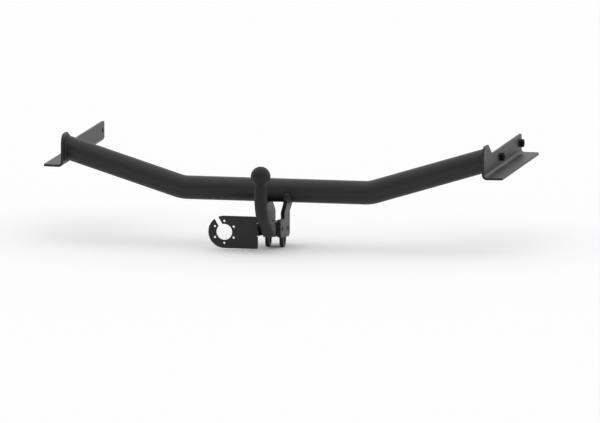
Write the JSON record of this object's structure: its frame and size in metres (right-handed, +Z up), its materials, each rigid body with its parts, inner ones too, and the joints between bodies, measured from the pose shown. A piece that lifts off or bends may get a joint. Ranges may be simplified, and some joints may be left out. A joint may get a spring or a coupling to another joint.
{
  "type": "towbar",
  "caption": "Fixed towbar: bent cross tube with an angle bracket at each end, cheek plates with chain eyes, a bolted swan neck with its ball, and a socket plate.",
  "frame": {"origin": "centre of the coupling ball", "axes": "+X to the car's right along the cross tube, +Y to the front of the car, +Z up"},
  "size_m": [1.186, 0.633, 0.2754],
  "materials": {
    "powder_coated_tube": "satin black powder coat",
    "powder_coated_plate": "satin black powder coat",
    "powder_coated_forging": "satin black powder coat over a forged surface",
    "powder_coated_weld": "satin black powder coat over a rippled weld bead",
    "black_phosphated_steel": "black phosphated, lightly oiled"
  },
  "bodies": {
    "root": {"ball_neck": "powder_coated_forging", "crossbar_tube": "powder_coated_tube", "front_neck_bolt": "black_phosphated_steel", "front_plain_washer": "black_phosphated_steel", "front_spring_washer": "black_phosphated_steel", "left_cheek_inner_weld": "powder_coated_weld", "left_cheek_outer_weld": "powder_coated_weld", "left_cheek_plate": "powder_coated_plate", "left_end_bracket": "powder_coated_plate", "left_end_weld": "powder_coated_weld", "left_front_weld_nut": "black_phosphated_steel", "left_rear_weld_nut": "black_phosphated_steel", "rear_neck_bolt": "black_phosphated_steel", "rear_plain_washer": "black_phosphated_steel", "rear_spring_washer": "black_phosphated_steel", "right_cheek_inner_weld": "powder_coated_weld", "right_cheek_outer_weld": "powder_coated_weld", "right_cheek_plate": "powder_coated_plate", "right_end_bracket": "powder_coated_plate", "right_end_weld": "powder_coated_weld", "right_front_weld_nut": "black_phosphated_steel", "right_rear_weld_nut": "black_phosphated_steel", "socket_plate": "powder_coated_plate"}
  },
  "joints": []
}
